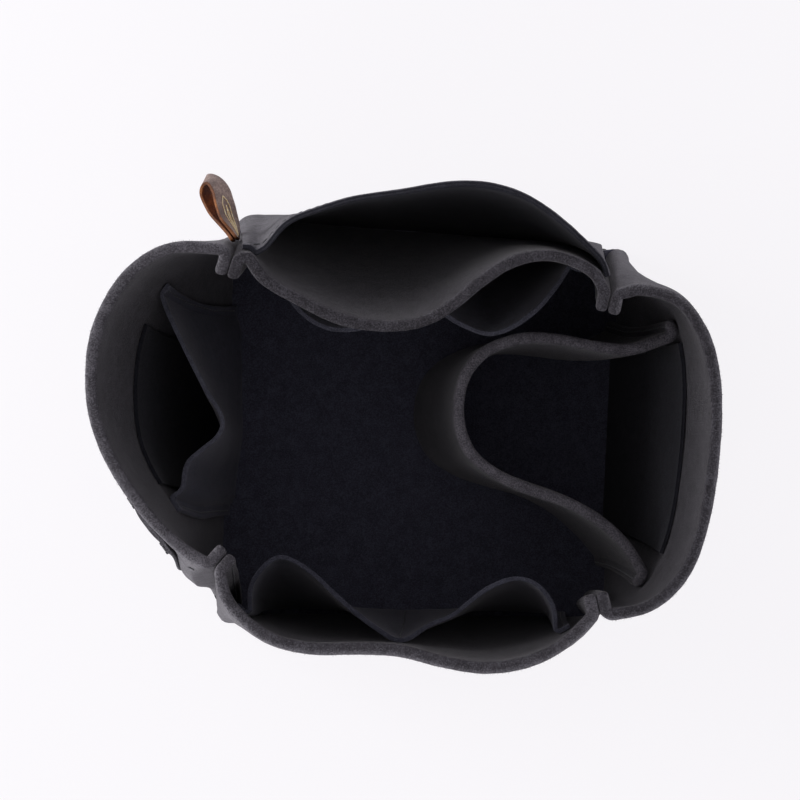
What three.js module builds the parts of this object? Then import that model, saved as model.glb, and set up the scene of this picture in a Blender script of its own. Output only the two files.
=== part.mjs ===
// A purse organizer insert: an open felt tub that stands inside a handbag.
// Four thick felt walls are sewn to a felt base, and meet in upright seams whose allowances turn inward.
// Thin felt pockets line the walls and a thick strip makes a round bottle pocket.
// A leather loop hangs outside.
// X runs along the front wall, Y from front to back and Z up. Lengths are in millimetres.

import * as THREE from "three";

// Driving sizes of the tub
const rimLength = 262;
const rimDepth = 205;
const baseLength = 168;
const baseDepth = 166;
const tubHeight = 165;

// Felt, thread and how the pieces meet
const wallFelt = 5;
const baseFelt = 5;
const pocketFelt = 2;
const backingFelt = 1.5;
const seamGap = 0.3;
const seamAllowance = 7;
const insideBend = 0.6;
const wallBulge = 12;
const threadWidth = 0.8;
const threadDepth = 0.5;
const threadMargin = 4;

// Pockets: how high their rims are and how far those stand off the wall
const pocketHeight = 110;
const pocketFlange = 5;
const bottleReach = 93;
const leftReach = 35;
const slipReach = 31;
const backPocketHeight = 160;
const outerSlipHeight = 151;
const outerSlipReach = 0.9;
const creaseClear = 3;
const hemDepth = 6;
const tackLength = 5;

// Leather loop
const loopHeight = 115;
const loopLength = 27;
const loopSpread = 7;
const loopRoot = 5.6;
const loopSkewShare = 0.5;
const loopTwistShare = 0.4;
const strapWidth = 11;
const strapThickness = 1.6;
const strapGap = 0.4;
const loopHeading = 114;
const loopTwist = -50;

// How finely the felt is divided
const wallSteps = 24;
const bendSteps = 4;
const heightSteps = 5;
const loopSteps = 48;

// Materials, from the photograph
const materials = {
  wallFelt: new THREE.MeshStandardMaterial({ color: 0x4b4b50, roughness: 0.95, metalness: 0 }),
  pocketFelt: new THREE.MeshStandardMaterial({ color: 0x35353c, roughness: 0.95, metalness: 0 }),
  thread: new THREE.MeshStandardMaterial({ color: 0x2a2a30, roughness: 0.7, metalness: 0 }),
  leather: new THREE.MeshStandardMaterial({ color: 0x7a5f55, roughness: 0.55, metalness: 0 }),
  loopThread: new THREE.MeshStandardMaterial({ color: 0xe0c48a, roughness: 0.6, metalness: 0 }),
};

// The middle of the felt in plan: shares of the base's or the rim's length and depth, from the middle
const corners = {
  frontLeft: { baseShares: [-0.491, -0.502], rimShares: [-0.29, -0.278], baseTurn: 14, rimTurn: 49 },
  frontRight: { baseShares: [0.527, -0.522], rimShares: [0.305, -0.37], baseTurn: 135, rimTurn: 103 },
  backRight: { baseShares: [0.562, 0.456], rimShares: [0.323, 0.253], baseTurn: 262, rimTurn: 256 },
  backLeft: { baseShares: [-0.44, 0.514], rimShares: [-0.269, 0.325], baseTurn: 315, rimTurn: 252 },
};

const walls = {
  front_wall: {
    from: "frontLeft",
    to: "frontRight",
    swellShares: [0.4, 0.4, 0.3],
    rimShares: [
      [-0.276, -0.346], [-0.253, -0.384], [-0.208, -0.426], [-0.146, -0.446], [-0.075, -0.446],
      [-0.005, -0.45], [0.057, -0.472], [0.127, -0.486], [0.197, -0.472], [0.252, -0.436], [0.281, -0.4],
    ],
  },
  right_end_wall: {
    from: "frontRight",
    to: "backRight",
    swellShares: [0.4, 0.45, 0.5, 0.82, 0.62],
    rimShares: [
      [0.347, -0.376], [0.392, -0.358], [0.436, -0.302], [0.464, -0.221], [0.481, -0.107], [0.489, 0.008],
      [0.484, 0.108], [0.465, 0.187], [0.428, 0.247], [0.376, 0.266], [0.347, 0.265],
    ],
  },
  back_wall: {
    from: "backRight",
    to: "backLeft",
    swellShares: [0, 0, 0],
    rimShares: [
      [0.295, 0.303], [0.259, 0.327], [0.217, 0.337], [0.163, 0.319], [0.116, 0.279], [0.076, 0.235],
      [0.032, 0.203], [-0.024, 0.193], [-0.091, 0.205], [-0.158, 0.243], [-0.22, 0.291],
    ],
  },
  left_end_wall: {
    from: "backLeft",
    to: "frontLeft",
    swellShares: [0.4, 0.46, 0.53, 0.52, 0, 1.4],
    rimShares: [
      [-0.312, 0.351], [-0.364, 0.351], [-0.42, 0.311], [-0.463, 0.237], [-0.484, 0.158], [-0.488, 0.058],
      [-0.473, -0.026], [-0.443, -0.103], [-0.398, -0.183], [-0.361, -0.231], [-0.323, -0.265],
    ],
  },
};

const wallFoot = baseFelt + seamGap;
const wallReach = tubHeight - wallFoot;
const pairOffset = (wallFelt + seamGap) / 2;
const wallBend = wallFelt / 2 + insideBend;
const threadRest = seamGap + threadDepth / 2;

// Plan geometry

const plan = (x, y) => new THREE.Vector3(x, y, 0);
const turned = (v) => plan(-v.y, v.x);
const direction = (angle) => plan(Math.cos(angle), Math.sin(angle));
const heading = (degrees) => direction(THREE.MathUtils.degToRad(degrees));
const along = (point, way, distance) => point.clone().addScaledVector(way, distance);
const between = (a, b, share) => a.clone().lerp(b, share);
const shareOfWall = (z) => (z - wallFoot) / wallReach;
const heightOf = (share) => wallFoot + wallReach * share;
const basePoint = ([x, y]) => plan(x * baseLength, y * baseDepth);
const rimPoint = ([x, y]) => plan(x * rimLength, y * rimDepth);

// Shares from nothing to one in even steps
const stepsTo = (count) => Array.from({ length: count + 1 }, (_, i) => i / count);

const wallLevels = stepsTo(heightSteps).map(heightOf);

function spline(points) {
  return new THREE.CatmullRomCurve3(points, false, "centripetal");
}

// A bend from the end of a straight run round to a line that aims at the target.
function bendTowards(tip, root, radius, target) {
  const ahead = root.clone().sub(tip).normalize();
  const side = Math.sign(turned(ahead).dot(target.clone().sub(root)));
  const centre = along(root, turned(ahead), side * radius);
  const away = target.clone().sub(centre);
  const leave = Math.atan2(away.y, away.x) - side * Math.acos(Math.min(1, radius / away.length()));
  const spoke = root.clone().sub(centre);
  const start = Math.atan2(spoke.y, spoke.x);
  const full = 2 * Math.PI;
  const sweep = side * ((((side * (leave - start)) % full) + full) % full);
  return stepsTo(bendSteps).map((share) => along(centre, direction(start + sweep * share), radius));
}

// A strip seen from above: a straight tip, a bend, a free curve, a bend and a straight tip
function flangedLine(start, free, end, radius, steps) {
  const first = bendTowards(start.tip, start.root, radius, free[0]);
  const last = bendTowards(end.tip, end.root, radius, free[free.length - 1]).reverse();
  const curve = spline([first[bendSteps], ...free, last[0]]);
  const middle = curve.getSpacedPoints(steps).slice(1, -1);
  return { points: [start.tip, ...first, ...middle, ...last, end.tip], curve };
}

// The line moved sideways, to its left when the distance is positive
function offsetLine(points, distance) {
  return points.map((point, i) => {
    const before = point.clone().sub(points[Math.max(i - 1, 0)]).normalize();
    const after = points[Math.min(i + 1, points.length - 1)].clone().sub(point).normalize();
    const mean = before.clone().add(after).normalize();
    const spread = Math.max(mean.dot(before), mean.dot(after));
    return along(point, turned(mean), distance / spread);
  });
}

// Solids

// One closed solid through closed outlines of equal count, each a list of points going round to the left
function loftSolid(rings, caps) {
  const count = rings[0].length;
  const positions = rings.flatMap((ring) => ring.flatMap((p) => [p.x, p.y, p.z]));
  const index = [];
  for (let level = 0; level + 1 < rings.length; level += 1) {
    const [low, high] = [rings[level], rings[level + 1]];
    for (let i = 0; i < count; i += 1) {
      const next = (i + 1) % count;
      const a = level * count + i;
      const b = level * count + next;
      // The shorter diagonal, so that two faces that lie side by side fold alike
      if (low[i].distanceTo(high[next]) <= low[next].distanceTo(high[i])) {
        index.push(a, b, b + count, a, b + count, a + count);
      } else {
        index.push(a, b, a + count, b, b + count, a + count);
      }
    }
  }
  const top = (rings.length - 1) * count;
  for (const [a, b, c] of caps) {
    index.push(c, b, a, top + a, top + b, top + c);
  }
  const geometry = new THREE.BufferGeometry();
  geometry.setAttribute("position", new THREE.Float32BufferAttribute(positions, 3));
  geometry.setIndex(index);
  return geometry;
}

// The caps of an outline that goes out along one side of a strip and back along the other
function stripCaps(count) {
  const caps = [];
  for (let i = 0; i + 1 < count / 2; i += 1) {
    caps.push([i, i + 1, count - 2 - i], [i, count - 2 - i, count - 1 - i]);
  }
  return caps;
}

// The heights at which a sheet is divided: its own ends and those of the walls' levels in between
function levelsBetween(low, high) {
  return [low, ...wallLevels.filter((z) => z > low + seamGap && z < high - seamGap), high];
}

// The plan line of a sheet at any height, straight between the heights at which it is divided
function laid(lineAt, levels) {
  const lines = levels.map(lineAt);
  return (z) => {
    const next = Math.max(1, levels.findIndex((level) => level >= z - seamGap / 2));
    const climb = (z - levels[next - 1]) / (levels[next] - levels[next - 1]);
    return lines[next - 1].map((point, i) => between(point, lines[next][i], climb));
  };
}

// Sheet of one thickness that follows a plan line at each height
function ribbonSolid(lineAt, low, high, thickness) {
  const rings = levelsBetween(low, high).map((z) => {
    const line = lineAt(z);
    const right = offsetLine(line, -thickness / 2);
    const left = offsetLine(line, thickness / 2).reverse();
    return [...right, ...left].map((p) => new THREE.Vector3(p.x, p.y, z));
  });
  return loftSolid(rings, stripCaps(rings[0].length));
}

const insert = new THREE.Group();

function addPiece(name, geometry, material) {
  geometry.computeVertexNormals();
  const mesh = new THREE.Mesh(geometry, material.clone());
  mesh.name = name;
  insert.add(mesh);
}

// Walls

// An upright seam at a share of the wall's height: its place and the way its allowances point
function cornerAt(corner, share) {
  const place = between(basePoint(corner.baseShares), rimPoint(corner.rimShares), share);
  const inward = heading(THREE.MathUtils.lerp(corner.baseTurn, corner.rimTurn, share));
  return { place, inward };
}

function allowanceAt(corner, share, side) {
  const { place, inward } = cornerAt(corner, share);
  const root = along(place, turned(inward), side * pairOffset);
  return { root, tip: along(root, inward, seamAllowance) };
}

// Points along the foot of a wall, from seam to seam, moved outward by an offset.
// The foot lies as far outside each seam as the felt does that bends out of its allowance.
function footPoints(wall, count, offset) {
  const from = basePoint(corners[wall.from].baseShares);
  const to = basePoint(corners[wall.to].baseShares);
  const outward = turned(to.clone().sub(from)).normalize().negate();
  const aside = (corner, side) => {
    return side * (pairOffset + wallBend) * turned(heading(corner.baseTurn)).dot(outward) + wallBend;
  };
  const start = along(from, outward, aside(corners[wall.from], -1) + offset);
  const end = along(to, outward, aside(corners[wall.to], 1) + offset);
  return { points: stepsTo(count + 1).slice(1, -1).map((run) => between(start, end, run)), outward };
}

// How much of the full swell a wall has, from shares of it that are spaced evenly from seam to seam
function swellAt(wall, run) {
  const shares = wall.swellShares;
  const place = run * (shares.length - 1);
  const step = Math.min(Math.floor(place), shares.length - 2);
  const share = THREE.MathUtils.lerp(shares[step], shares[step + 1], place - step);
  return share * Math.sin(Math.PI * run) ** (1 / 4);
}

// The wall is straight along the base, follows its own waves at the rim and swells in between
function wallLine(wall, share) {
  const start = allowanceAt(corners[wall.from], share, -1);
  const end = allowanceAt(corners[wall.to], share, 1);
  const rim = wall.rimShares.map(rimPoint);
  const foot = footPoints(wall, rim.length, 0);
  const free = rim.map((point, i) => {
    const run = (i + 1) / (rim.length + 1);
    const swell = wallBulge * swellAt(wall, run) * 4 * share * (1 - share);
    const swollen = along(between(foot.points[i], point, share), foot.outward, swell);
    return along(swollen, turned(foot.outward), -Math.cos(Math.PI * run) * swell);
  });
  return flangedLine(start, free, end, wallBend, wallSteps);
}

for (const [name, wall] of Object.entries(walls)) {
  wall.lineAt = laid((z) => wallLine(wall, shareOfWall(z)).points, wallLevels);
  wall.length = wallLine(wall, 1).curve.getLength();
  addPiece(name, ribbonSolid(wall.lineAt, wallFoot, tubHeight, wallFelt), materials.wallFelt);
}

// The free part of a wall, moved off the middle of its felt, inward when the distance is positive
function wallFace(wall, z, distance) {
  return offsetLine(wall.lineAt(z), distance).slice(1 + bendSteps, -1 - bendSteps);
}

// A place on that line, at a share of the way from one seam to the next
function wallPlace(wall, z, share, distance) {
  const line = wallFace(wall, z, distance);
  const run = share * wallSteps;
  const step = Math.floor(run);
  return between(line[step], line[step + 1], run - step);
}

// Base

// The base ends flush with the outer faces of the walls, whose turned-in allowances it leaves out
function addBase() {
  const hidden = 1 + bendSteps / 2;
  const bent = 2 + bendSteps;
  const outline = Object.values(walls).flatMap((wall) => {
    const face = offsetLine(wall.lineAt(wallFoot), -wallFelt / 2);
    return [...face.slice(hidden, bent), ...face.slice(-bent, -hidden)];
  });
  const panel = new THREE.Shape(outline);
  const depth = { depth: baseFelt, bevelEnabled: false };
  addPiece("base_panel", new THREE.ExtrudeGeometry(panel, depth), materials.wallFelt);

  // The sewing runs round the edge of the base, half way up
  const loop = [outline[outline.length - 1], ...outline, outline[0]];
  const ringAt = (distance) => offsetLine(loop, -distance).slice(1, -1);
  const low = (baseFelt - threadWidth) / 2;
  const edges = [seamGap, seamGap + threadDepth].map(ringAt);
  const corner = (edge, z) => edges[edge].map((p) => new THREE.Vector3(p.x, p.y, z));
  const rings = [corner(0, low), corner(1, low), corner(1, low + threadWidth), corner(0, low + threadWidth)];
  addPiece("base_edge_stitching", closedLoop(rings), materials.thread);
}

// A solid ring: its section is given as closed outlines that go round the section
function closedLoop(rings) {
  const count = rings[0].length;
  const positions = rings.flatMap((ring) => ring.flatMap((p) => [p.x, p.y, p.z]));
  const index = [];
  for (let k = 0; k < rings.length; k += 1) {
    for (let i = 0; i < count; i += 1) {
      const next = (i + 1) % count;
      const a = k * count;
      const b = ((k + 1) % rings.length) * count;
      index.push(a + i, a + next, b + next, a + i, b + next, b + i);
    }
  }
  const geometry = new THREE.BufferGeometry();
  geometry.setAttribute("position", new THREE.Float32BufferAttribute(positions, 3));
  geometry.setIndex(index);
  return geometry;
}

addBase();

// Pockets inside the tub

// How far a sheet may stand off its wall, from the foot of the pocket to its rim
function standOff(pocket, z) {
  const climb = (z - wallFoot) / (pocket.height - wallFoot);
  return pocket.reach * THREE.MathUtils.lerp(pocket.footShare, 1, climb);
}

// The two ends are sewn flat to the wall, and the sheet leaves it between them
function pocketLine(pocket, z) {
  const rest = wallFelt / 2 + seamGap + pocket.felt / 2;
  const flange = pocketFlange / pocket.wall.length;
  const place = (share, distance) => wallPlace(pocket.wall, z, share, pocket.side * (rest + distance));
  const start = { root: place(pocket.startShare, 0), tip: place(pocket.startShare - flange, 0) };
  const end = { root: place(pocket.endShare, 0), tip: place(pocket.endShare + flange, 0) };
  const square = turned(end.root.clone().sub(start.root).normalize()).multiplyScalar(pocket.side);
  const free = pocket.shapeShares.map(([share, off]) => {
    return along(place(share, pocket.behind), square, off * standOff(pocket, z));
  });
  return flangedLine(start, free, end, pocket.felt / 2 + insideBend, pocket.steps);
}

// Where a pocket's sheet leaves the wall, and how far it stands off there as a share of its reach
const pockets = {
  bottle_pocket: {
    wall: walls.right_end_wall,
    side: 1,
    felt: wallFelt,
    material: materials.wallFelt,
    height: pocketHeight,
    reach: bottleReach,
    behind: backingFelt + seamGap,
    footShare: 0.92,
    startShare: 0.12,
    endShare: 0.793,
    steps: 36,
    shapeShares: [
      [0.17, 0.05], [0.225, 0.16], [0.272, 0.29], [0.306, 0.44], [0.327, 0.61], [0.355, 0.78],
      [0.402, 0.92], [0.465, 0.985], [0.532, 1], [0.607, 0.97], [0.672, 0.87], [0.715, 0.7],
      [0.725, 0.53], [0.719, 0.35], [0.722, 0.2],
    ],
  },
  left_end_pocket: {
    wall: walls.left_end_wall,
    side: 1,
    felt: pocketFelt,
    material: materials.pocketFelt,
    height: pocketHeight,
    reach: leftReach,
    behind: backingFelt + seamGap,
    footShare: 0.08,
    startShare: 0.2,
    endShare: 0.76,
    steps: 28,
    shapeShares: [
      [0.24, 0.09], [0.297, 0.3], [0.375, 0.55], [0.43, 0.71], [0.482, 0.84], [0.522, 0.95],
      [0.555, 0.98], [0.59, 0.88], [0.63, 0.6], [0.66, 0.4], [0.7, 0.26], [0.735, 0.14],
    ],
  },
  front_slip_pocket: {
    wall: walls.front_wall,
    side: 1,
    felt: pocketFelt,
    material: materials.pocketFelt,
    height: pocketHeight,
    reach: slipReach,
    behind: 0,
    footShare: 0.06,
    startShare: 0.08,
    endShare: 0.92,
    dividerShare: 0.495,
    steps: 32,
    shapeShares: [
      [0.1, 0.4], [0.135, 0.75], [0.17, 0.96], [0.212, 1], [0.273, 0.86], [0.328, 0.62],
      [0.39, 0.33], [0.455, 0.08], [0.48, 0], [0.51, 0], [0.568, 0.26], [0.62, 0.43],
      [0.713, 0.86], [0.79, 0.95], [0.85, 0.75], [0.895, 0.36],
    ],
  },
  back_slip_pocket: {
    wall: walls.back_wall,
    side: 1,
    felt: pocketFelt,
    material: materials.pocketFelt,
    height: pocketHeight,
    reach: slipReach,
    behind: 0,
    footShare: 0.06,
    startShare: 0.08,
    endShare: 0.92,
    dividerShare: 0.535,
    steps: 32,
    shapeShares: [
      [0.11, 0.18], [0.14, 0.4], [0.185, 0.67], [0.255, 0.89], [0.29, 0.93], [0.335, 0.89],
      [0.4, 0.66], [0.463, 0.34], [0.495, 0.1], [0.52, 0], [0.55, 0], [0.575, 0.07],
      [0.62, 0.25], [0.69, 0.42], [0.77, 0.5], [0.84, 0.42], [0.89, 0.2],
    ],
  },
  left_outer_pocket: {
    wall: walls.left_end_wall,
    side: -1,
    felt: pocketFelt,
    material: materials.pocketFelt,
    height: outerSlipHeight,
    reach: outerSlipReach,
    behind: 0,
    footShare: 0.8,
    startShare: 0.78,
    endShare: 0.883,
    steps: 6,
    shapeShares: [[0.8, 0.8], [0.83, 1], [0.86, 0.8]],
  },
};

// A short upright line of stitches on a pocket's felt, where that is sewn flat to the wall
function addPocketStitching(name, pocket, share) {
  const rest = wallFelt / 2 + seamGap + pocket.felt + threadRest;
  const half = threadWidth / 2 / pocket.wall.length;
  const place = (z, run) => wallPlace(pocket.wall, z, run, pocket.side * rest);
  const lineAt = (z) => [place(z, share - half), place(z, share + half)];
  const low = wallFoot + threadMargin;
  const high = pocket.height - threadMargin;
  addPiece(name, ribbonSolid(lineAt, low, high, threadDepth), materials.thread);
}

for (const [name, pocket] of Object.entries(pockets)) {
  const lineAt = (z) => pocketLine(pocket, z).points;
  const halfFlange = pocketFlange / 2 / pocket.wall.length;
  addPiece(name, ribbonSolid(lineAt, wallFoot, pocket.height, pocket.felt), pocket.material);
  addPocketStitching(`${name}_start_stitching`, pocket, pocket.startShare - halfFlange);
  addPocketStitching(`${name}_end_stitching`, pocket, pocket.endShare + halfFlange);
  if (pocket.dividerShare) {
    addPocketStitching(`${name}_divider_stitching`, pocket, pocket.dividerShare);
  }
}

// Thin felt that backs the wall behind the end pockets, between the places where those are sewn on
const backings = {
  bottle_pocket_backing: { wall: walls.right_end_wall, fromStep: 5, toStep: 18 },
  left_pocket_backing: { wall: walls.left_end_wall, fromStep: 7, toStep: 17 },
};

for (const [name, { wall, fromStep, toStep }] of Object.entries(backings)) {
  const rest = wallFelt / 2 + seamGap + backingFelt / 2;
  const lineAt = (z) => wallFace(wall, z, rest).slice(fromStep, toStep + 1);
  addPiece(name, ribbonSolid(lineAt, wallFoot, pocketHeight, backingFelt), materials.pocketFelt);
}

// Bar tacks across the ends of the outer slip pocket's mouth
for (const [end, side] of [["start", -1], ["end", 1]]) {
  const pocket = pockets.left_outer_pocket;
  const middle = pocket[`${end}Share`] + (side * pocketFlange) / 2 / pocket.wall.length;
  const half = tackLength / 2 / pocket.wall.length;
  const rest = wallFelt / 2 + seamGap + pocket.felt + threadRest;
  const place = (z, share) => wallPlace(pocket.wall, z, share, pocket.side * rest);
  const lineAt = (z) => [place(z, middle - half), place(z, middle + half)];
  const high = pocket.height - seamGap;
  const geometry = ribbonSolid(lineAt, high - threadWidth, high, threadDepth);
  addPiece(`left_outer_pocket_${end}_bar_tack`, geometry, materials.thread);
}

// Outer back pocket

// The middle of its felt at the rim, as shares like those of the walls
const backPocketShares = [
  [0.312, 0.323], [0.289, 0.357], [0.249, 0.406], [0.202, 0.45], [0.161, 0.472], [0.113, 0.483],
  [0.054, 0.478], [-0.005, 0.464], [-0.072, 0.452], [-0.132, 0.428], [-0.18, 0.402],
];

// The part of the wall's outer face that the pocket follows out of the crease at one end
function creasePoints(corner, side, share) {
  const wall = walls.back_wall;
  const { place, inward } = cornerAt(corner, share);
  const layer = wallFelt / 2 + 2 * seamGap + pocketFelt / 2;
  const face = offsetLine(wall.lineAt(heightOf(share)), -layer);
  const line = side < 0 ? face : face.reverse();
  const aside = (point) => turned(inward).dot(point.clone().sub(place)) * side;
  const next = line.findIndex((point, i) => i > 1 && aside(point) > creaseClear);
  const run = (creaseClear - aside(line[next - 1])) / (aside(line[next]) - aside(line[next - 1]));
  return [between(line[next - 1], line[next], run), ...line.slice(next, Math.max(next, 2 + bendSteps))];
}

function backPocketLine(z) {
  const share = shareOfWall(z);
  const wall = walls.back_wall;
  const rim = backPocketShares.map(rimPoint);
  const foot = footPoints(wall, rim.length, wallFelt / 2 + 2 * seamGap + pocketFelt / 2);
  const free = rim.map((point, i) => between(foot.points[i], point, share));
  const first = creasePoints(corners[wall.from], -1, share);
  const last = creasePoints(corners[wall.to], 1, share).reverse();
  const curve = spline([...first, ...free, ...last]);
  // The line is divided more finely towards its ends, where it turns out of the creases
  return stepsTo(wallSteps).map((f) => curve.getPointAt((1 - Math.cos(Math.PI * f)) / 2));
}

const backPocketAt = laid(backPocketLine, levelsBetween(wallFoot, backPocketHeight));
const backPocketSolid = ribbonSolid(backPocketAt, wallFoot, backPocketHeight, pocketFelt);
addPiece("outer_back_pocket", backPocketSolid, materials.pocketFelt);

const hemTop = backPocketHeight - hemDepth;
const hemLine = (z) => offsetLine(backPocketAt(z), -pocketFelt / 2 - threadRest).slice(1, -1);
const hemSolid = ribbonSolid(hemLine, hemTop - threadWidth, hemTop, threadDepth);
addPiece("outer_back_pocket_hem_stitching", hemSolid, materials.thread);

// Stitching through the allowances of the four upright seams
for (const [name, corner] of Object.entries(corners)) {
  const lineAt = (z) => {
    const { place, inward } = cornerAt(corner, shareOfWall(z));
    const face = along(place, turned(inward), -pairOffset - wallFelt / 2 - threadRest);
    return [-1, 1].map((side) => along(face, inward, (seamAllowance + side * threadWidth) / 2));
  };
  const label = name.replace(/[A-Z]/, (letter) => `_${letter.toLowerCase()}`);
  const seam = ribbonSolid(lineAt, wallFoot + threadMargin, tubHeight - threadMargin, threadDepth);
  addPiece(`${label}_seam_stitching`, seam, materials.thread);
}

// Leather loop

// Half of the strap's middle line from above: how far along the loop, and how far to the side
function strapPath() {
  const rest = (strapThickness + strapGap) / 2;
  const side = [
    [0, rest / loopSpread], [0.15, rest / loopSpread], [0.4, 0.32], [0.65, 0.5], [0.88, 0.42],
  ];
  const right = side.map(([run, off]) => plan(run * loopLength, -off * loopSpread));
  const left = side.map(([run, off]) => plan(run * loopLength, off * loopSpread)).reverse();
  return spline([...right, plan(loopLength, 0), ...left]);
}

// A place on the strap: along its path, across its width and off its middle.
// The loop turns over soon after its root and is folded askew at its tip.
function strapPlace(path, share, across, lift) {
  const middle = along(path.getPointAt(share), turned(path.getTangentAt(share)), -lift);
  const run = Math.max(0, middle.x / loopLength);
  const twist = THREE.MathUtils.degToRad(loopTwist) * Math.min(1, run / loopTwistShare);
  const out = middle.y * Math.cos(twist) - across * Math.sin(twist);
  const up = middle.y * Math.sin(twist) + across * Math.cos(twist);
  const { place, inward } = cornerAt(corners.backLeft, shareOfWall(loopHeight));
  const root = along(place, inward, -loopRoot);
  const ahead = heading(loopHeading);
  const reach = middle.x + across * loopSkewShare * run;
  const point = along(along(root, ahead, reach), turned(ahead), out);
  point.z = loopHeight + up;
  return point;
}

function strapSolid(path) {
  const [wide, thick] = [strapWidth / 2, strapThickness / 2];
  const section = [[-wide, -thick], [wide, -thick], [wide, thick], [-wide, thick]];
  const rings = stepsTo(loopSteps).map((share) => {
    return section.map(([across, lift]) => strapPlace(path, share, across, lift));
  });
  return loftSolid(rings, [[0, 1, 2], [0, 2, 3]]);
}

// Where the stitching runs: shares of the strap's length and of its width
const stitchShares = [
  [0.035, -0.04], [0.12, -0.1], [0.2, -0.17], [0.27, -0.15], [0.31, 0],
  [0.27, 0.13], [0.2, 0.17], [0.12, 0.12], [0.035, 0.06],
];

// The stitching on the strap: out along one side of its middle, round a point and back along the other
function stitchSolid(path) {
  const length = path.getLength();
  const marks = stitchShares.map(([run, off]) => plan(run * length, off * strapWidth));
  const line = spline(marks).getSpacedPoints(loopSteps);
  const outline = [...offsetLine(line, -threadWidth / 2), ...offsetLine(line, threadWidth / 2).reverse()];
  const rings = [threadRest - threadDepth / 2, threadRest + threadDepth / 2].map((lift) => {
    return outline.map((p) => strapPlace(path, p.x / length, p.y, strapThickness / 2 + lift));
  });
  return loftSolid(rings, stripCaps(outline.length));
}

const loopPath = strapPath();
addPiece("leather_loop", strapSolid(loopPath), materials.leather);
addPiece("loop_stitching", stitchSolid(loopPath), materials.loopThread);

// The origin is under the middle of the whole, on the floor
const box = new THREE.Box3().setFromObject(insert);
const middle = box.getCenter(new THREE.Vector3());
for (const piece of insert.children) {
  piece.geometry.translate(-middle.x, -middle.y, 0);
}

export default insert;
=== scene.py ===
import math
import random

import bmesh
import bpy
from mathutils import Matrix, Vector, noise
from mathutils.bvhtree import BVHTree
from mathutils.kdtree import KDTree


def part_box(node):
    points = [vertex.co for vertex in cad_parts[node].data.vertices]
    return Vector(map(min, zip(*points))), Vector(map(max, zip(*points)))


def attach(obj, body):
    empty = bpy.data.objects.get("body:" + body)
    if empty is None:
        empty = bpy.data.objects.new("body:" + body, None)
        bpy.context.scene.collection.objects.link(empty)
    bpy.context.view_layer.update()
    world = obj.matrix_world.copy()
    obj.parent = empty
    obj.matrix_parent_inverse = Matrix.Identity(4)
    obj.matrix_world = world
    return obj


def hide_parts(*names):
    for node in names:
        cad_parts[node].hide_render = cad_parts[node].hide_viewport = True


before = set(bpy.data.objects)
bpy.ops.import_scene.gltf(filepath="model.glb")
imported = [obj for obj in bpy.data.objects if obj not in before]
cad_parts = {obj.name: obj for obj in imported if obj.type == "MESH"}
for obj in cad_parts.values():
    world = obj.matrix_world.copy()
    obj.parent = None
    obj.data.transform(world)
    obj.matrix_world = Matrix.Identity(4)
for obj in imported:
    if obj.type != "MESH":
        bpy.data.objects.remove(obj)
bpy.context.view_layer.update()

scene = bpy.context.scene
scene.view_settings.view_transform = "Standard"
print("stage: frame loaded,", len(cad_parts), "nodes")

# The camera looks straight down, as in the photograph
cameraLook = {
    "centre": (-0.00141, 0.0095),  # the point of the floor under the lens
    "rimHeight": 0.165,
    "aboveRim": 1.1,
    "spanAtRim": 0.32653,  # what the picture's width covers at the rim
    "sensorWidth": 36,  # mm
}


def addCamera():
    data = bpy.data.cameras.new("overheadCamera")
    data.sensor_width = cameraLook["sensorWidth"]
    data.lens = cameraLook["sensorWidth"] * cameraLook["aboveRim"] / cameraLook["spanAtRim"]
    camera = bpy.data.objects.new("overheadCamera", data)
    camera.location = (*cameraLook["centre"], cameraLook["rimHeight"] + cameraLook["aboveRim"])
    scene.collection.objects.link(camera)
    scene.camera = camera


addCamera()
print("stage: camera placed")


# sRGB hex to the linear values that the shaders want
def hexColour(text):
    parts = [int(text[i : i + 2], 16) / 255 for i in (1, 3, 5)]
    return [c / 12.92 if c <= 0.04045 else ((c + 0.055) / 1.055) ** 2.4 for c in parts] + [1]


def addNode(tree, kind, settings=(), links=()):
    node = tree.nodes.new(kind)
    for name, value in dict(settings).items():
        if isinstance(name, str) and hasattr(node, name):
            setattr(node, name, value)
        else:
            node.inputs[name].default_value = value
    for name, source in dict(links).items():
        tree.links.new(source, node.inputs[name])
    return node


def newMaterial(name):
    material = bpy.data.materials.new(name)
    material.use_nodes = True
    material.node_tree.nodes.clear()
    return material, material.node_tree


def rampOf(tree, source, stops):
    ramp = addNode(tree, "ShaderNodeValToRGB", links={"Fac": source})
    ramp.color_ramp.elements[0].position = stops[0][0]
    ramp.color_ramp.elements[1].position = stops[-1][0]
    for place, _ in stops[1:-1]:
        ramp.color_ramp.elements.new(place)
    for element, (_, colour) in zip(ramp.color_ramp.elements, stops):
        element.color = hexColour(colour)
    return ramp.outputs["Color"]


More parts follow.
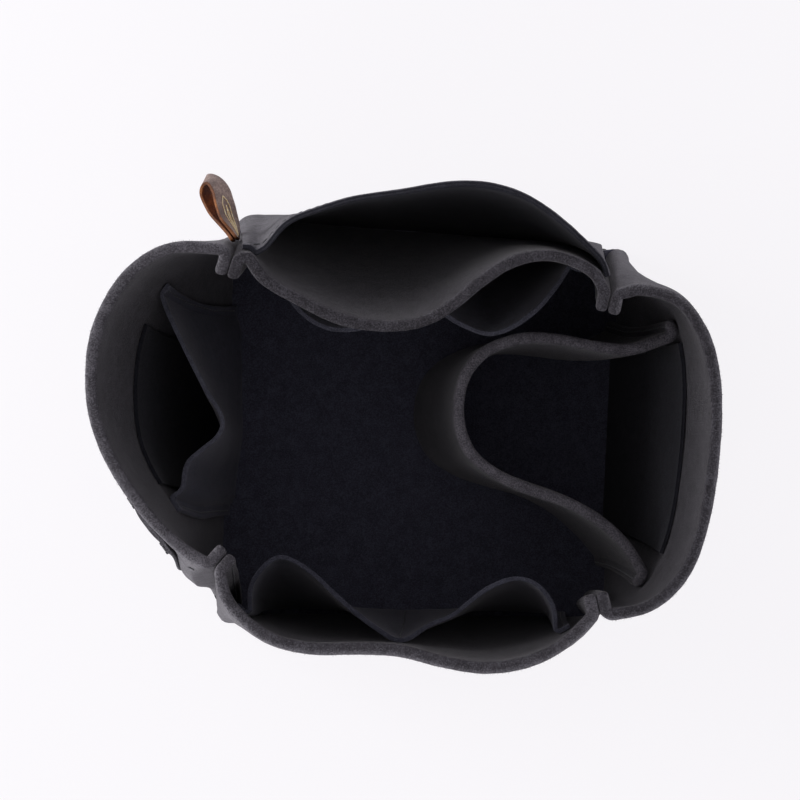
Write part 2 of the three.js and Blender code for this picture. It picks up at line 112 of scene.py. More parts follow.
# Needled polyester felt: matted fibres with no weave, so it is dull, soft-edged and pale where light grazes the nap
feltLooks = {
    # inside, outside, cut: the dark, middle and light fibres of each face and of the cut edge.
    # The outside colours are painted light: a paler, lit copy of the felt for the faces that the side lamps and the
    # floor light.
    # A felt without an outside looks alike on both faces.
    "wallFelt": {
        "inside": ("#211f22", "#2f2d31", "#424045"),
        "outside": ("#403e42", "#575559", "#6e6c71"),
        "cut": ("#444246", "#5c595e", "#767378"),
        "grain": 0.0006,  # fibre tufts of about 0.3 mm, drawn coarser so that they show
        "clump": 0.006,  # clouds of paler and darker fibres
        "bump": 0.0008,
        "sheen": 0.22,
    },
    # Painted shade: a darker copy of the wall felt for the bottle pocket, which stands deep in the tub's shade
    "bottleFelt": {
        "inside": ("#19181b", "#252327", "#343236"),
        "cut": ("#38363a", "#4c494e", "#636065"),
        "grain": 0.0006,
        "clump": 0.006,
        "bump": 0.0008,
        "sheen": 0.2,
    },
    # Painted light and shade: a lighter, bluer copy of the felt for the base, lifting the deep floor and giving it
    # the blue of the shade there
    "baseFelt": {
        "inside": ("#33333d", "#3e3e4a", "#494956"),
        "cut": ("#444246", "#5c595e", "#767378"),
        "grain": 0.0006,
        "clump": 0.006,
        "bump": 0.0004,
        "sheen": 0.2,
    },
    # The blue cast of the pockets' felt is painted shade colour
    "pocketFelt": {
        "inside": ("#272730", "#33333e", "#3f3f4b"),
        "cut": ("#3b3b41", "#505057", "#67676e"),
        "grain": 0.0005,
        "clump": 0.005,
        "bump": 0.0004,
        "sheen": 0.2,
    },
    # Painted shade and light: a near-black inside for the outer back pocket's side that faces the wall, in shade, and
    # the paler lit outside
    "outerFelt": {
        "inside": ("#121217", "#19191f", "#222229"),
        "outside": ("#403e42", "#575559", "#6e6c71"),
        "cut": ("#3b3b41", "#505057", "#67676e"),
        "grain": 0.0005,
        "clump": 0.005,
        "bump": 0.0004,
        "sheen": 0.05,
    },
    # Painted shade: the backings, below the pockets' rims, take a near-black felt for the pockets' shade
    "backingFelt": {
        "inside": ("#121216", "#19191e", "#232329"),
        "cut": ("#202025", "#2c2c32", "#3a3a41"),
        "grain": 0.0005,
        "clump": 0.005,
        "bump": 0.0003,
        "sheen": 0.1,
    },
}


feltPattern = {
    "mattedShare": 0.45,  # of the tangled fibres in the grain
    "clumpShare": 0.14,
    "faceStops": (0.43, 0.5, 0.57),
    "cutStops": (0.42, 0.5, 0.58),
    "sheenTint": "#e2dfe2",
}


def feltMaterial(name):
    look = feltLooks[name]
    material, tree = newMaterial(name)
    place = addNode(tree, "ShaderNodeTexCoord").outputs["Object"]
    grain = addNode(
        tree, "ShaderNodeTexNoise", {"Scale": 1 / look["grain"], "Detail": 3, "Roughness": 0.6}, {"Vector": place}
    )
    matted = addNode(
        tree,
        "ShaderNodeTexNoise",
        {"Scale": 0.4 / look["grain"], "Detail": 4, "Roughness": 0.7, "Distortion": 2},
        {"Vector": place},
    )
    clump = addNode(tree, "ShaderNodeTexNoise", {"Scale": 1 / look["clump"], "Detail": 2}, {"Vector": place})
    fine = addNode(
        tree,
        "ShaderNodeMix",
        {"data_type": "FLOAT", "Factor": feltPattern["mattedShare"]},
        {"A": grain.outputs["Fac"], "B": matted.outputs["Fac"]},
    )
    tone = addNode(
        tree,
        "ShaderNodeMix",
        {"data_type": "FLOAT", "Factor": feltPattern["clumpShare"]},
        {"A": fine.outputs[0], "B": clump.outputs["Fac"]},
    ).outputs[0]
    faceColours = (look["inside"], look.get("outside", look["inside"]))
    inside, outside = [rampOf(tree, tone, list(zip(feltPattern["faceStops"], colours))) for colours in faceColours]
    # Painted light: faces turned out from the tub take the paler, lit outside colours
    napped = addNode(tree, "ShaderNodeAttribute", {"attribute_name": "napped"}).outputs["Fac"]
    sides = addNode(tree, "ShaderNodeMix", {"data_type": "RGBA"}, {"Factor": napped, "A": inside, "B": outside})
    # The pale cut edge, with painted light on the rims and a painted highlight on the outer arris
    cut = addNode(tree, "ShaderNodeAttribute", {"attribute_name": "cutEdge"}).outputs["Fac"]
    paler = addNode(tree, "ShaderNodeMix", {"data_type": "RGBA"}, {"Factor": cut, "A": sides.outputs["Result"]})
    tree.links.new(rampOf(tree, tone, list(zip(feltPattern["cutStops"], look["cut"]))), paler.inputs["B"])
    bump = addNode(tree, "ShaderNodeBump", {"Strength": 0.7, "Distance": look["bump"]}, {"Height": fine.outputs[0]})
    surface = addNode(
        tree,
        "ShaderNodeBsdfPrincipled",
        {
            "Roughness": 0.95,
            "Specular IOR Level": 0.15,
            "Sheen Weight": look["sheen"],
            "Sheen Roughness": 0.35,
            "Sheen Tint": hexColour(feltPattern["sheenTint"]),
        },
        {"Base Color": paler.outputs["Result"], "Normal": bump.outputs["Normal"]},
    )
    addNode(tree, "ShaderNodeOutputMaterial", links={"Surface": surface.outputs["BSDF"]})
    return material


# Polyester sewing thread: twisted from fine filaments, so it has a faint soft gloss.
# Its plies make a ridge about every 0.4 mm, drawn at 0.6 mm so that they show.
threadLooks = {
    "feltThread": {"dark": "#1c1c20", "light": "#34343a", "twist": 0.0006},
    "creamThread": {"dark": "#e6c084", "light": "#fff2cc", "twist": 0.0006},
}


def threadMaterial(name):
    look = threadLooks[name]
    material, tree = newMaterial(name)
    place = addNode(tree, "ShaderNodeTexCoord").outputs["Object"]
    twist = addNode(tree, "ShaderNodeTexNoise", {"Scale": 1 / look["twist"], "Detail": 2}, {"Vector": place})
    twist = twist.outputs["Fac"]
    colour = rampOf(tree, twist, [(0.35, look["dark"]), (0.6, look["light"])])
    bump = addNode(tree, "ShaderNodeBump", {"Strength": 0.5, "Distance": 0.0001}, {"Height": twist})
    surface = addNode(
        tree,
        "ShaderNodeBsdfPrincipled",
        {"Roughness": 0.55, "Specular IOR Level": 0.4, "Sheen Weight": 0.2},
        {"Base Color": colour, "Normal": bump.outputs["Normal"]},
    )
    addNode(tree, "ShaderNodeOutputMaterial", links={"Surface": surface.outputs["BSDF"]})
    return material


# Leather: a waxed full grain outside with fine pebbles, a rough orange-brown flesh side and a raw tan cut edge
leatherLooks = {
    "waxedLeather": {
        "tones": ("#5e4a43", "#7d675f", "#a08b80"),
        "pebble": 0.0009,
        "rough": 0.5,
        "bump": 0.00025,
    },
    "leatherFlesh": {
        "tones": ("#3a1d12", "#6b3518", "#a4602c"),
        "pebble": 0.0005,
        "rough": 0.85,
        "bump": 0.0002,
    },
    "leatherEdge": {
        "tones": ("#38200f", "#72401d", "#a86d36"),
        "pebble": 0.0004,
        "rough": 0.7,
        "bump": 0.0001,
    },
}
leatherCloud = 0.005  # patches of more and less worn leather


def leatherMaterial(name):
    look = leatherLooks[name]
    material, tree = newMaterial(name)
    place = addNode(tree, "ShaderNodeTexCoord").outputs["Object"]
    pebble = addNode(
        tree, "ShaderNodeTexVoronoi", {"Scale": 1 / look["pebble"], "Randomness": 0.9}, {"Vector": place}
    ).outputs["Distance"]
    cloud = addNode(tree, "ShaderNodeTexNoise", {"Scale": 1 / leatherCloud, "Detail": 4}, {"Vector": place})
    cloud = cloud.outputs["Fac"]
    tone = addNode(tree, "ShaderNodeMix", {"data_type": "FLOAT", "Factor": 0.3}, {"A": cloud, "B": pebble})
    colour = rampOf(tree, tone.outputs[0], list(zip((0.3, 0.5, 0.7), look["tones"])))
    bump = addNode(
        tree, "ShaderNodeBump", {"Strength": 0.6, "Distance": look["bump"], "invert": True}, {"Height": pebble}
    )
    surface = addNode(
        tree,
        "ShaderNodeBsdfPrincipled",
        {"Roughness": look["rough"], "Specular IOR Level": 0.45},
        {"Base Color": colour, "Normal": bump.outputs["Normal"]},
    )
    addNode(tree, "ShaderNodeOutputMaterial", links={"Surface": surface.outputs["BSDF"]})
    return material


materials = {name: feltMaterial(name) for name in feltLooks}
materials.update({name: threadMaterial(name) for name in threadLooks})
materials.update({name: leatherMaterial(name) for name in leatherLooks})
print("stage: materials made")


# The node's loose triangles, merged and joined back into four-sided faces
def copyOfNode(node):
    bm = bmesh.new()
    bm.from_mesh(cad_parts[node].data)
    bmesh.ops.remove_doubles(bm, verts=bm.verts, dist=0.00001)
    bmesh.ops.join_triangles(
        bm, faces=bm.faces, angle_face_threshold=math.radians(40), angle_shape_threshold=math.radians(70)
    )
    return bm


arrisAngle = math.radians(50)  # a bend sharper than this is an edge of the felt, not a curve of it


def arrisesOf(bm):
    return [e for e in bm.edges if len(e.link_faces) == 2 and e.calc_face_angle(0) > arrisAngle]


# A row close to each end of a strip, in height and along it, from which subdivision rounds the arrises
def addCloseRows(bm, reach):
    heights = [v.co.z for v in bm.verts]
    for height in (min(heights) + reach, max(heights) - reach):
        geometry = [*bm.verts, *bm.edges, *bm.faces]
        bmesh.ops.bisect_plane(bm, geom=geometry, plane_co=Vector((0, 0, height)), plane_no=Vector((0, 0, 1)))
    upright = [e for e in arrisesOf(bm) if abs(e.verts[0].co.z - e.verts[1].co.z) > 0.5 * e.calc_length()]
    tips = {v for e in upright for v in e.verts}
    shares = {}
    for v in tips:
        for e in v.link_edges:
            other = e.other_vert(v)
            length = e.calc_length()
            level = abs(other.co.z - v.co.z) < 0.5 * length
            if other not in tips and level and length > 1.5 * reach:
                share = reach / length
                shares[e] = share if e.verts[0] is v else 1 - share
    bmesh.ops.subdivide_edges(bm, edges=list(shares), cuts=1, edge_percents=shares)


def meshObject(bm, name):
    mesh = bpy.data.meshes.new(name)
    bm.to_mesh(mesh)
    for attribute in [a for a in mesh.attributes if a.name == "custom_normal"]:
        mesh.attributes.remove(attribute)
    piece = bpy.data.objects.new(name, mesh)
    scene.collection.objects.link(piece)
    return piece


def smoothed(piece, levels):
    smooth = piece.modifiers.new("smooth", "SUBSURF")
    smooth.levels = smooth.render_levels = levels
    piece.data.update_tag()
    bpy.context.view_layer.update()
    mesh = bpy.data.meshes.new_from_object(piece.evaluated_get(bpy.context.evaluated_depsgraph_get()))
    piece.modifiers.clear()
    return mesh


cageFit = {
    "rounds": 4,
    "share": 0.8,  # how much of the gap each round makes up
    "furthest": 0.0015,  # no point moves further than this
    "levels": 2,
}


# Subdivision draws a surface in from its cage, so the cage is first let out until the surface meets its points.
# The arrises are held sharp meanwhile, and rounded afterwards.
def letOut(bm, name):
    crease = bm.edges.layers.float.new("crease_edge")
    for edge in arrisesOf(bm):
        edge[crease] = 1
    wanted = [v.co.copy() for v in bm.verts]
    cage = meshObject(bm, name)
    for _ in range(cageFit["rounds"]):
        drawnIn = smoothed(cage, cageFit["levels"])
        for v, place in zip(cage.data.vertices, wanted):
            v.co += cageFit["share"] * (place - drawnIn.vertices[v.index].co)
            out = v.co - place
            if out.length > cageFit["furthest"]:
                v.co = place + out.normalized() * cageFit["furthest"]
        bpy.data.meshes.remove(drawnIn)
    for v, moved in zip(bm.verts, cage.data.vertices):
        v.co = moved.co
    bm.edges.layers.float.remove(crease)
    bpy.data.meshes.remove(cage.data)


def placePiece(bm, name, body, materialNames, levels=0, shell=()):
    piece = meshObject(bm, name)
    bm.free()
    for materialName in materialNames:
        piece.data.materials.append(materials[materialName])
    if shell:
        solid = piece.modifiers.new("shell", "SOLIDIFY")
        for setting, value in shell.items():
            setattr(solid, setting, value)
    if levels:
        cage = piece.data
        piece.data = smoothed(piece, levels)
        bpy.data.meshes.remove(cage)
        piece.data.name = name
    piece.data.shade_smooth()
    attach(piece, body)
    return piece


# Where each row of stitches runs, from its CAD node
def cornersOf(node):
    return [Vector(c) for c in sorted({tuple(round(x, 6) for x in v.co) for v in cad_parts[node].data.vertices})]


def uprightPath(node):
    levels = {}
    for corner in cornersOf(node):
        levels.setdefault(round(corner.z, 4), []).append(corner)
    return [sum(group, Vector()) / len(group) for _, group in sorted(levels.items())]


# The middle of a level row: the mean of each pair of corners of its lowest edge, in order round the tub
def levelPath(node):
    corners = cornersOf(node)
    floor = min(c.z for c in corners)
    height = sum(c.z for c in corners) / len(corners)
    lowest = [c for c in corners if c.z < floor + 0.0001]
    middles = {}
    for point in lowest:
        near = min((q for q in lowest if q is not point), key=lambda q: (q - point).length)
        middle = (point + near) / 2
        middles[(round(middle.x, 5), round(middle.y, 5))] = Vector((middle.x, middle.y, height))
    return sorted(middles.values(), key=lambda p: math.atan2(p.y, p.x))


# The path cut into places a set distance apart
def evenPlaces(path, pitch, closed=False):
    points = [*path, path[0]] if closed else list(path)
    reach = [0]
    for a, b in zip(points, points[1:]):
        reach.append(reach[-1] + (b - a).length)
    count = max(1, round(reach[-1] / pitch))
    places = []
    step = 0
    for k in range(count + 1):
        distance = reach[-1] * k / count
        while step < len(points) - 2 and reach[step + 1] < distance:
            step += 1
        share = (distance - reach[step]) / max(reach[step + 1] - reach[step], 1e-9)
        places.append(points[step].lerp(points[step + 1], min(1, share)))
    return places


levelRows = ("base_edge_stitching", "outer_back_pocket_hem_stitching")
rows = {}
for node in sorted(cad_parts):
    if node.endswith("_stitching") and node != "loop_stitching":
        rows[node] = levelPath(node) if node in levelRows else uprightPath(node)

# The felt sheets: each is its CAD node's shape with soft arrises and the slight unevenness of felt, with painted
# light on its rims and outer faces
sheets = {
    # name: node, felt, flat size, flat area, how far its edges are rounded, how uneven
    "frontWall": ("front_wall", "wallFelt", (0.196, 0.16), 0.031, 0.003, 0.00022),
    "rightEndWall": ("right_end_wall", "wallFelt", (0.198, 0.16), 0.0307, 0.003, 0.00022),
    "backWall": ("back_wall", "wallFelt", (0.19, 0.16), 0.0293, 0.003, 0.00022),
    "leftEndWall": ("left_end_wall", "wallFelt", (0.202, 0.16), 0.031, 0.003, 0.00022),
    "basePanel": ("base_panel", "baseFelt", (0.195, 0.191), 0.0345, 0.0014, 0.0002),
    "bottlePocket": ("bottle_pocket", "bottleFelt", (0.237, 0.105), 0.0244, 0.003, 0.00022),
    "leftEndPocket": ("left_end_pocket", "pocketFelt", (0.113, 0.105), 0.0109, 0.0012, 0.00015),
    "frontSlipPocket": ("front_slip_pocket", "pocketFelt", (0.194, 0.105), 0.0173, 0.0012, 0.00015),
    "backSlipPocket": ("back_slip_pocket", "pocketFelt", (0.17, 0.105), 0.0159, 0.0012, 0.00015),
    "leftOuterPocket": ("left_outer_pocket", "outerFelt", (0.029, 0.146), 0.0038, 0.0012, 0.0001),
    "outerBackPocket": ("outer_back_pocket", "outerFelt", (0.173, 0.155), 0.0261, 0.0012, 0.00015),
    "bottlePocketBacking": ("bottle_pocket_backing", "backingFelt", (0.091, 0.105), 0.0091, 0.0009, 0.0001),
    "leftPocketBacking": ("left_pocket_backing", "backingFelt", (0.071, 0.105), 0.0071, 0.0009, 0.0001),
}
feltFinish = {
    "broad": 0.022,  # length of the slow waves left by handling
    "small": 0.004,  # length of the lumps in the nap
    "edge": 0.003,  # how far down the pale cut edge and its painted light reach
    "rimPale": {  # painted light on the rim: how pale it is painted from its inner side on, more where light falls; on the others only the outer arris is
        "leftOuterPocket": 0,
        "leftEndWall": 0.4,
        "frontWall": 0.2,
        "bottlePocket": 0.9,
        "leftEndPocket": 0.5,
        "frontSlipPocket": 0.3,
        "backSlipPocket": 0.4,
    },
    "otherRims": 0.05,
    # painted highlight along the outer arris, where light catches the fuzz
    "arrisPale": 0.5,
    "innerArris": 0.15,  # share of that painted highlight on the arris that faces the tub's middle, which lies in shade
    "pressDepth": 0.0004,  # how deep the thread pulls into the felt
    "pressReach": 0.002,
    "hemDepth": 0.006,
    "hemSwell": 0.00035,  # the hem is folded double
    "hemStep": 0.0012,
    "footReach": 0.018,  # the outer pockets are pulled in to the wall at their feet
    "footPull": 0.0012,
    "flattened": 0.0005,  # the small outer pocket lies pressed against the wall
    "outward": {"outerBackPocket": Vector((0, 1, 0)), "leftOuterPocket": Vector((-0.9, -0.4, 0))},
    "napped": ("frontWall", "rightEndWall", "leftEndWall", "outerBackPocket"),  # painted light: paler, lit colours on their outer faces
}
baseGrid = {"step": 0.011, "steps": 8, "bevelSegments": 3, "flatWithin": math.radians(3)}
feltPieces = {}
rowPlaces = [place for node, path in rows.items() for place in evenPlaces(path, 0.001, node == "base_edge_stitching")]
rowTree = KDTree(len(rowPlaces))
for index, place in enumerate(rowPlaces):
    rowTree.insert(place, index)
rowTree.balance()


def unevenFelt(piece, amount):
    look = feltFinish
    mesh = piece.data
    name = piece.name
    top = max(v.co.z for v in mesh.vertices)
    outward = look["outward"].get(name)
    moved = []
    edge = []
    napped = []
    for v in mesh.vertices:
        broad = noise.noise(v.co / look["broad"])
        small = noise.noise(v.co / look["small"] + Vector((5, 1, 9)))
        off = amount * (1.4 * broad + 0.6 * small)
        distance = rowTree.find(v.co)[2]
        if distance < look["pressReach"]:
            off -= look["pressDepth"] * (1 - (distance / look["pressReach"]) ** 2) ** 2
        if name == "outerBackPocket":
            rise = min(1, max(0, (v.co.z - top + look["hemDepth"]) / look["hemStep"]))
            off += look["hemSwell"] * rise * (1 - abs(v.normal.z))
        place = v.co + v.normal * off
        if name == "leftOuterPocket":
            place -= v.normal * look["flattened"] * max(0, v.normal.dot(outward))
        if outward:
            place -= outward * look["footPull"] * min(1, max(0, 1.5 * (1 - v.co.z / look["footReach"])))
        moved.append(place)
        # The cut edge's own paleness plus painted light: paler rims where more light falls, and a painted highlight
        # on the outer arris
        closeness = max(0, 1 - (top - v.co.z) / look["edge"])
        rounded = max(0, 1 - abs(v.normal.z - 0.55) / 0.4)  # most where the arris turns over
        arris = rounded * (1 if v.normal.xy.dot(v.co.xy) > 0 else look["innerArris"])
        edge.append(min(1, closeness * (look["rimPale"].get(name, look["otherRims"]) + look["arrisPale"] * arris)))
        # Painted light: faces turned out from the tub take the lit outside colours, and the small outer pocket takes
        # them all over
        if name in look["napped"]:
            napped.append(min(1, max(0, 3 * v.normal.xy.dot(v.co.xy.normalized()))))
        else:
            napped.append(1 if name == "leftOuterPocket" else 0)
    for v, place in zip(mesh.vertices, moved):
        v.co = place
    mesh.attributes.new("cutEdge", "FLOAT", "POINT").data.foreach_set("value", edge)
    mesh.attributes.new("napped", "FLOAT", "POINT").data.foreach_set("value", napped)
    mesh.update()


# The base is a plain slab: its edges are bevelled, and a grid gives its faces points for the felt's unevenness
def gridBase(bm, rounding):
    bmesh.ops.dissolve_limit(bm, angle_limit=baseGrid["flatWithin"], verts=bm.verts, edges=bm.edges)
    bmesh.ops.bevel(
        bm,
        geom=arrisesOf(bm),
        offset=rounding,
        affect="EDGES",
        segments=baseGrid["bevelSegments"],
        profile=0.5,
        material=-1,
        clamp_overlap=False,
    )
    for axis in (0, 1):
        for step in range(-baseGrid["steps"], baseGrid["steps"] + 1):
            normal = Vector((1 - axis, axis, 0))
            geometry = [*bm.verts, *bm.edges, *bm.faces]
            bmesh.ops.bisect_plane(bm, geom=geometry, plane_co=normal * step * baseGrid["step"], plane_no=normal)


def addSheets():
    for name, (node, felt, flat, area, rounding, amount) in sheets.items():
        bm = copyOfNode(node)
        if name == "basePanel":
            gridBase(bm, rounding)
        else:
            addCloseRows(bm, rounding)
        letOut(bm, name)
        piece = placePiece(bm, name, "tub", [felt], 1 if name == "basePanel" else 2)
        unevenFelt(piece, amount)
        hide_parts(node)
        feltPieces[name] = piece


addSheets()
print("stage: felt sheets made,", sum(len(p.data.polygons) for p in feltPieces.values()), "faces")


# Sewing: rows of single stitches, each a small pinched bead that leans a little and lies on the felt
def surfaceOf(pieces):
    corners = []
    faces = []
    for piece in pieces:
        patches = [[tuple(piece.data.vertices[i].co) for i in face.vertices] for face in piece.data.polygons]
        if piece.name == "basePanel":
            # The grid's cuts leave its faces in another order each run, which would move stitches that lie midway
            # between two faces
            patches = sorted([tuple(round(c, 6) for c in corner) for corner in patch] for patch in patches)
        for patch in patches:
            faces.append(range(len(corners), len(corners) + len(patch)))
            corners.extend(patch)
    return BVHTree.FromPolygons(corners, faces)


def stitchRow(name, node, body, materialName, path, surface, sewing, closed=False):
    rng = random.Random(name)
    places = []
    for place in evenPlaces(path, sewing["length"] + sewing["gap"], closed):
        spot, normal, _, _ = surface.find_nearest(place)
        places.append(spot + normal * sewing["width"] * sewing["proud"])
    bm = bmesh.new()
    for start, end in zip(places, places[1:]):
        way = end - start
        turn = way.to_track_quat("Z", "Y").to_matrix().to_4x4()
        tilt = Matrix.Rotation(math.radians(sewing["lean"] + rng.uniform(-3, 3)), 4, "Y")
        size = Matrix.Diagonal((sewing["width"] / 2, sewing["width"] / 2, (way.length - sewing["gap"]) / 2, 1))
        stand = Matrix.Translation((start + end) / 2) @ turn @ tilt @ size
        bmesh.ops.create_uvsphere(bm, u_segments=6, v_segments=5, radius=1, matrix=stand)
    piece = placePiece(bm, name, body, [materialName])
    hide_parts(node)


feltSewing = {
    "length": 0.0032,
    "gap": 0.0005,
    "width": 0.0007,
    "lean": 8,  # degrees
    "proud": 0.1,  # share of its width that a stitch stands off the felt
}
feltSurface = surfaceOf(feltPieces.values())


def addSewing():
    for node, path in rows.items():
        words = node.split("_")
        name = words[0] + "".join(w.capitalize() for w in words[1:])
        stitchRow(name, node, "tub", "feltThread", path, feltSurface, feltSewing, node == "base_edge_stitching")


# Bar tacks: short ladders of tight stitches across the ends of the small outer pocket's mouth.
# Beside the one at the seam a knot leaves loose thread ends.
barTack = {
    "length": 0.005,
    "stitch": 0.0006,
    "width": 0.0011,
    "knot": Vector((-0.0882, -0.0612, 0.151)),
    "ends": 5,
    "endLength": 0.0022,
    "endWidth": 0.00045,
}


def addBarTacks():
    tight = {"length": barTack["stitch"], "gap": 0, "width": barTack["width"], "lean": 0, "proud": 0.1}
    for end in ("start", "end"):
        node = f"left_outer_pocket_{end}_bar_tack"
        low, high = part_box(node)
        middle = sum(uprightPath(node), Vector()) / 2
        across = Vector((high.x - low.x, low.y - high.y, 0)).normalized() * barTack["length"] / 2
        stitchRow(f"{end}BarTack", node, "tub", "feltThread", [middle - across, middle + across], feltSurface, tight)
    rng = random.Random(3)
    bm = bmesh.new()
    spot, normal, _, _ = feltSurface.find_nearest(barTack["knot"])
    for k in range(barTack["ends"]):
        angle = 2 * math.pi * (k + rng.random() * 0.6) / barTack["ends"]
        away = Matrix.Rotation(angle, 3, normal) @ normal.orthogonal()
        way = (away.normalized() + normal * rng.uniform(0.1, 0.4)).normalized()
        length = barTack["endLength"] * rng.uniform(0.6, 1.2)
        size = Matrix.Diagonal((barTack["endWidth"] / 2, barTack["endWidth"] / 2, length / 2, 1))
        turn = way.to_track_quat("Z", "Y").to_matrix().to_4x4()
        stand = Matrix.Translation(spot + way * length * 0.45) @ turn @ size
        bmesh.ops.create_uvsphere(bm, u_segments=5, v_segments=6, radius=1, matrix=stand)
    ends = placePiece(bm, "threadEnds", "tub", ["feltThread"])


addSewing()
addBarTacks()
print("stage: sewing made")

# Loose fibres stand out of the thick felt's cut edges: single ones of 0.02 mm can't show, so these are small tufts
nap = {
    "pieces": ("frontWall", "rightEndWall", "backWall", "leftEndWall", "bottlePocket"),
    "count": 1200,  # on each piece
    "reach": 0.0035,  # how far down from the rim they stand
    "length": 0.0009,
    "width": 0.00012,
    "lean": 0.8,
    "sunk": 0.35,  # share of its length at which a tuft's middle stands
    "batch": 400,  # points gathered before they move over, as the operator is slow on a large mesh
}


def addNap():
    rng = random.Random(7)
    bm = bmesh.new()
    tuft = bmesh.new()
    few = bpy.data.meshes.new("fewTufts")
    for name in nap["pieces"]:
        mesh = feltPieces[name].data
        top = max(v.co.z for v in mesh.vertices) - nap["reach"]
        rim = [face for face in mesh.polygons if face.center.z > top]
        for face in rng.choices(rim, weights=[face.area for face in rim], k=nap["count"]):
            a, b, c, d = [mesh.vertices[i].co for i in face.vertices]
            spot = a.lerp(b, rng.random()).lerp(d.lerp(c, rng.random()), rng.random())
            lean = Vector([rng.uniform(-1, 1) for _ in range(3)])
            way = (face.normal + lean * nap["lean"]).normalized()
            length = nap["length"] * rng.uniform(0.5, 1.3)
            turn = way.to_track_quat("Z", "Y").to_matrix().to_4x4()
            stand = Matrix.Translation(spot + way * length * nap["sunk"]) @ turn
            bmesh.ops.create_cone(
                tuft, cap_ends=False, segments=3, radius1=nap["width"] / 2, radius2=0, depth=length, matrix=stand
            )
            if len(tuft.verts) > nap["batch"]:
                tuft.to_mesh(few)
                bm.from_mesh(few)
                tuft.clear()
    tuft.to_mesh(few)
    bm.from_mesh(few)
    tuft.free()
    bpy.data.meshes.remove(few)
    piece = placePiece(bm, "rimNap", "tub", ["wallFelt"])


addNap()
print("stage: nap made")


# The leather loop: a strap folded on itself, its flesh side inside
loopLook = {
    # Stations along the strap, in mm: its middle, and the way from there to its upper edge
    "stations": [
        ((-70.8, 78.2, 115.0), (0.0, 0.0, 5.5)),
        ((-71.7, 81.3, 115.3), (-1.1, -0.5, 5.4)),
        ((-73.0, 84.6, 115.8), (-2.3, -0.9, 4.9)),
        ((-74.6, 88.1, 116.5), (-3.1, -1.3, 4.4)),
        ((-75.6, 91.5, 117.0), (-3.4, -1.3, 4.1)),
        ((-76.6, 94.8, 117.4), (-3.4, -1.0, 4.2)),
        ((-77.4, 97.9, 117.4), (-3.2, -1.0, 4.4)),
        ((-79.2, 101.2, 117.2), (-2.7, -1.3, 4.6)),
        ((-81.8, 103.4, 116.4), (-1.5, -2.0, 4.9)),
        ((-84.3, 103.2, 115.2), (-0.6, -2.3, 4.9)),
        ((-84.4, 100.2, 113.8), (-1.7, -1.5, 4.9)),
        ((-83.0, 96.6, 112.8), (-3.0, -0.7, 4.5)),
        ((-81.2, 93.5, 112.3), (-3.4, -0.9, 4.2)),
        ((-79.4, 90.3, 112.6), (-3.3, -1.2, 4.2)),
        ((-77.0, 87.2, 113.3), (-3.0, -1.3, 4.4)),
        ((-74.8, 84.0, 114.2), (-2.4, -1.1, 4.8)),
        ((-73.4, 80.6, 114.7), (-1.2, -0.6, 5.3)),
        ((-72.7, 77.3, 115.0), (0.0, 0.0, 5.5)),
    ],
    "thickness": 0.0014,
    # The stitching's two leaves, as shares of the strap's length and of its width
    "leaf": [
        (0.03, -0.04),
        (0.1, -0.1),
        (0.17, -0.14),
        (0.24, -0.15),
        (0.29, -0.08),
        (0.32, 0.07),
        (0.27, 0.19),
        (0.19, 0.2),
        (0.11, 0.16),
        (0.03, 0.12),
    ],
    "innerLeaf": [(0.05, 0.02), (0.12, 0.01), (0.19, -0.01), (0.25, 0.03), (0.19, 0.07), (0.12, 0.08), (0.05, 0.07)],
    "stitch": 0.0018,
    "overlap": 0.0012,  # so that the thread reads as one line
    "thread": 0.0005,
    "threadLift": 0.0003,
}


# For each station its middle, the way to the edge and the way out of the loop
def strapFrames():
    places = [(Vector(middle) / 1000, Vector(side) / 1000) for middle, side in loopLook["stations"]]
    frames = []
    for i, (middle, side) in enumerate(places):
        ahead = places[min(i + 1, len(places) - 1)][0] - places[max(i - 1, 0)][0]
        frames.append((middle, side, ahead.cross(side).normalized()))
    return frames


def addLoop():
    frames = strapFrames()
    bm = bmesh.new()
    lines = [[bm.verts.new(middle + side * share) for share in (-1, 0, 1)] for middle, side, _ in frames]
    for before, after in zip(lines, lines[1:]):
        for k in (0, 1):
            bm.faces.new((before[k + 1], before[k], after[k], after[k + 1]))
    letOut(bm, "leatherLoop")
    shell = {
        "thickness": loopLook["thickness"],
        "offset": 0,
        "use_even_offset": True,
        "material_offset": 1,
        "material_offset_rim": 2,
        "edge_crease_inner": 0.7,
        "edge_crease_outer": 0.7,
    }
    loop = placePiece(bm, "leatherLoop", "loop", ["waxedLeather", "leatherFlesh", "leatherEdge"], 3, shell)
    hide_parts("leather_loop")

    def on(run, across):
        place = run * (len(frames) - 1)
        step = min(int(place), len(frames) - 2)
        lift = loopLook["thickness"] / 2 + loopLook["threadLift"]
        low, high = [middle + side * 2 * across + out * lift for middle, side, out in frames[step : step + 2]]
        return low.lerp(high, place - step)

    surface = surfaceOf([loop])
    sewing = {
        "length": loopLook["stitch"],
        "gap": -loopLook["overlap"],
        "width": loopLook["thread"],
        "lean": 0,
        "proud": 0.3,
    }
    for name, key in (("loopStitching", "leaf"), ("loopInnerStitching", "innerLeaf")):
        path = [on(run, across) for run, across in loopLook[key]]
        stitchRow(name, "loop_stitching", "loop", "creamThread", path, surface, sewing)


addLoop()
print("stage: leather loop made")


# Studio: a pale floor and soft lamps from the sides
studio = {
    "background": "#fbf9fc",
    "floor": "#f8f7f9",
    "floorReach": 4,
    "floorDrop": 0.0003,  # the felt's own unevenness stays above it
    "floorGlow": "#fbf9fc",  # what the camera sees of the floor is mostly this, so that it meets the background
    "glowShare": 0.88,
    "world": 0.65,
    "sky": "#f5f3fb",
    "aim": (0, 0, 0.12),
    "lamps": {
        # name: place, width, power
        "keyLamp": ((-0.85, 0.2, 0.4), 0.6, 7.5),
        "fillLamp": ((1.05, 0.1, 0.6), 0.8, 1.2),
        "frontLamp": ((-0.35, -1.1, 0.6), 0.8, 4),
    },
}


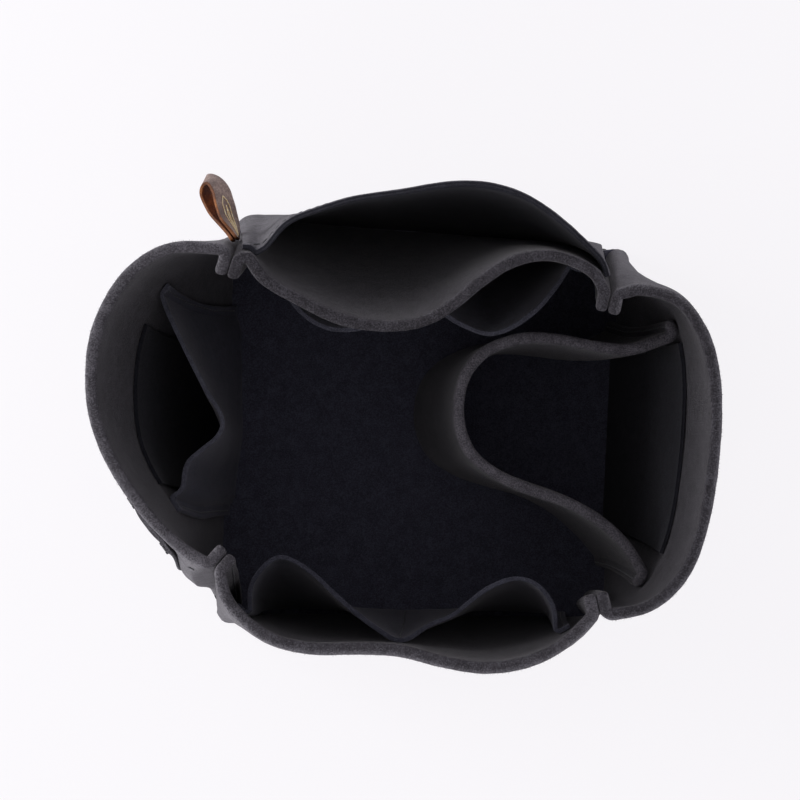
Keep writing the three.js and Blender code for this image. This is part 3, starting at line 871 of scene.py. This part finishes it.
# One for rays that show the background: from the camera, in a gloss and through glass
def lightPathMask(tree):
    path = addNode(tree, "ShaderNodeLightPath")
    mask = path.outputs["Is Camera Ray"]
    for ray in ("Is Glossy Ray", "Is Transmission Ray"):
        mask = addNode(tree, "ShaderNodeMath", {"operation": "MAXIMUM"}, {0: mask, 1: path.outputs[ray]}).outputs[0]
    return mask


def addStudio():
    world = bpy.data.worlds.new("paleStudio")
    scene.world = world
    world.use_nodes = True
    tree = world.node_tree
    tree.nodes.clear()
    seen = addNode(tree, "ShaderNodeBackground", {"Color": hexColour(studio["background"]), "Strength": 1})
    light = addNode(tree, "ShaderNodeBackground", {"Color": hexColour(studio["sky"]), "Strength": studio["world"]})
    mask = lightPathMask(tree)
    mix = addNode(tree, "ShaderNodeMixShader", links={0: mask, 1: light.outputs[0], 2: seen.outputs[0]})
    addNode(tree, "ShaderNodeOutputWorld", links={"Surface": mix.outputs[0]})

    for name, (place, width, power) in studio["lamps"].items():
        data = bpy.data.lights.new(name, "AREA")
        data.shape = "SQUARE"
        data.size = width
        data.energy = power
        lamp = bpy.data.objects.new(name, data)
        lamp.location = place
        lamp.rotation_euler = (Vector(studio["aim"]) - Vector(place)).to_track_quat("-Z", "Y").to_euler()
        scene.collection.objects.link(lamp)

    floorMaterial, tree = newMaterial("paleFloor")
    matt = addNode(tree, "ShaderNodeBsdfDiffuse", {"Color": hexColour(studio["floor"])})
    glow = addNode(tree, "ShaderNodeEmission", {"Color": hexColour(studio["floorGlow"]), "Strength": 1})
    share = addNode(
        tree, "ShaderNodeMath", {"operation": "MULTIPLY", 1: studio["glowShare"]}, {0: lightPathMask(tree)}
    )
    mix = addNode(tree, "ShaderNodeMixShader", links={0: share.outputs[0], 1: matt.outputs[0], 2: glow.outputs[0]})
    addNode(tree, "ShaderNodeOutputMaterial", links={"Surface": mix.outputs[0]})
    bm = bmesh.new()
    bmesh.ops.create_grid(bm, x_segments=2, y_segments=2, size=studio["floorReach"])
    mesh = bpy.data.meshes.new("floor")
    bm.to_mesh(mesh)
    bm.free()
    mesh.transform(Matrix.Translation((0, 0, -studio["floorDrop"])))
    mesh.materials.append(floorMaterial)
    floor = bpy.data.objects.new("floor", mesh)
    scene.collection.objects.link(floor)


addStudio()
print("stage: studio made")
